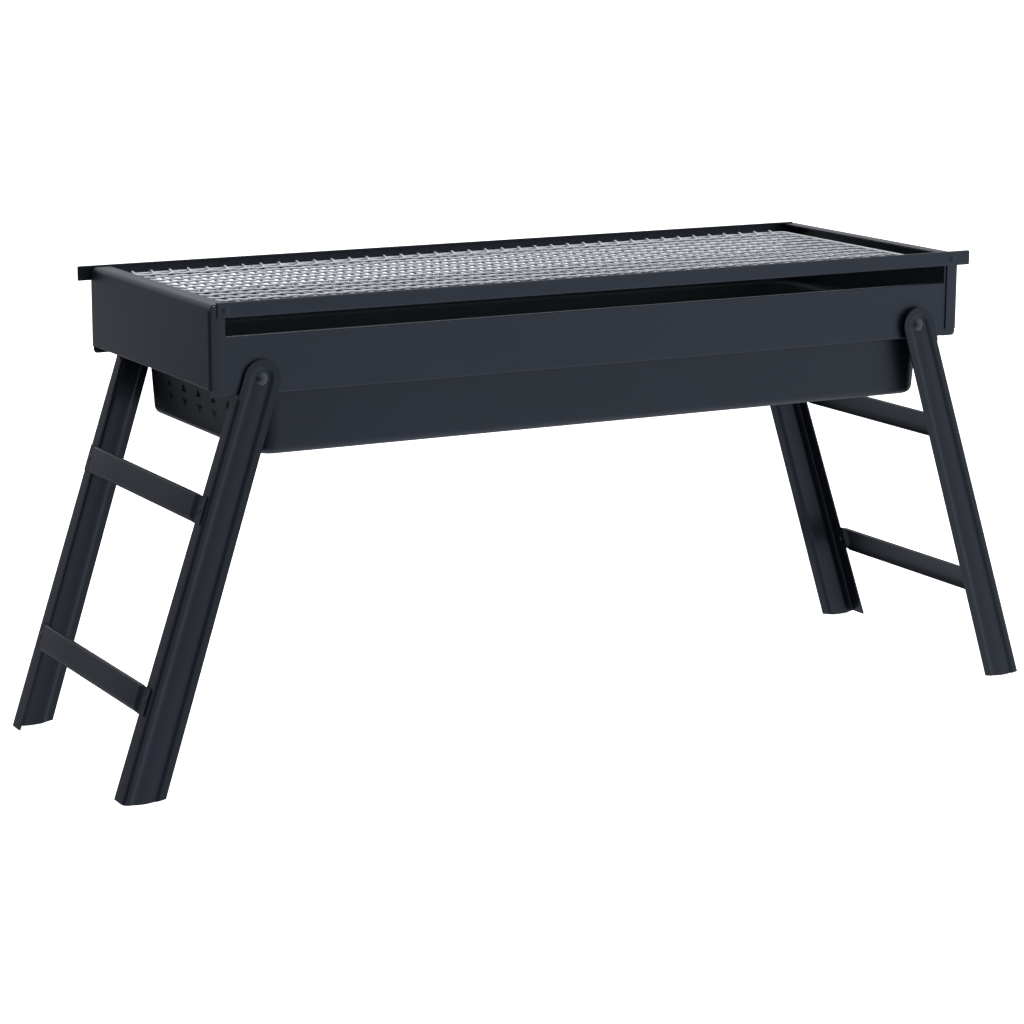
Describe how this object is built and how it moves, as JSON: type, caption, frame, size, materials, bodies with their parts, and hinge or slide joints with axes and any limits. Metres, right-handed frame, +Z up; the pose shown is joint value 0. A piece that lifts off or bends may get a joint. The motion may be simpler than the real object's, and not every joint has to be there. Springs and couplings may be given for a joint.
{
  "type": "folding camp grill",
  "caption": "Low folding charcoal grill: a long sheet-metal box with a hanging pan, a wire mesh and two splayed ladder legs that fold under it.",
  "frame": {"origin": "on the ground, under the middle of the box", "axes": "+X along the length of the box, +Z up, the front faces -Y"},
  "size_m": [0.7366, 0.2222, 0.33],
  "materials": {
    "coated_sheet": "satin dark anthracite powder coat",
    "coated_legs": "satin dark anthracite powder coat",
    "pan_coat": "satin dark heat-resistant coat",
    "mesh_wire": "bright galvanised wire",
    "rivets": "dark zinc plated rivets"
  },
  "bodies": {
    "box_frame": {"front_rail": "coated_sheet", "front_side_panel": "coated_sheet", "left_end_plate": "coated_sheet", "left_front_pivot_rivet": "rivets", "left_pan_ledge": "coated_sheet", "left_rear_pivot_rivet": "rivets", "rail_rivets": "rivets", "rear_rail": "coated_sheet", "rear_side_panel": "coated_sheet", "right_end_plate": "coated_sheet", "right_front_pivot_rivet": "rivets", "right_front_spacer": "rivets", "right_pan_ledge": "coated_sheet", "right_rear_pivot_rivet": "rivets", "right_rear_spacer": "rivets"},
    "left_ladder": {"left_crossbar_rivets": "rivets", "left_front_leg": "coated_legs", "left_lower_crossbar": "coated_legs", "left_rear_leg": "coated_legs", "left_upper_crossbar": "coated_legs"},
    "right_ladder": {"right_crossbar_rivets": "rivets", "right_front_leg": "coated_legs", "right_lower_crossbar": "coated_legs", "right_rear_leg": "coated_legs", "right_upper_crossbar": "coated_legs"},
    "pan": {"charcoal_pan": "pan_coat"},
    "mesh": {"mesh_border": "mesh_wire", "mesh_cross_wires": "mesh_wire", "mesh_long_wires": "mesh_wire"}
  },
  "joints": [
    {"name": "left_ladder_fold", "type": "hinge", "parent": "box_frame", "child": "left_ladder", "pos_m": [-0.263, 0, 0.278], "axis": [0, -1, 0], "range_deg": [0, 107.9]},
    {"name": "right_ladder_fold", "type": "hinge", "parent": "box_frame", "child": "right_ladder", "pos_m": [0.263, 0, 0.278], "axis": [0, 1, 0], "range_deg": [0, 104.71]},
    {"name": "pan_lift", "type": "slide", "parent": "box_frame", "child": "pan", "axis": [0, 0, 1], "range_m": [0, 0.0426]},
    {"name": "mesh_lift", "type": "slide", "parent": "pan", "child": "mesh", "axis": [0, 0, 1], "range_m": [0, 0.08]}
  ],
  "couplings": [
    {"joint": "right_ladder_fold", "follows": "left_ladder_fold", "ratio": 0.97},
    {"joint": "pan_lift", "follows": "left_ladder_fold", "m_per_rad": 0.022568}
  ]
}
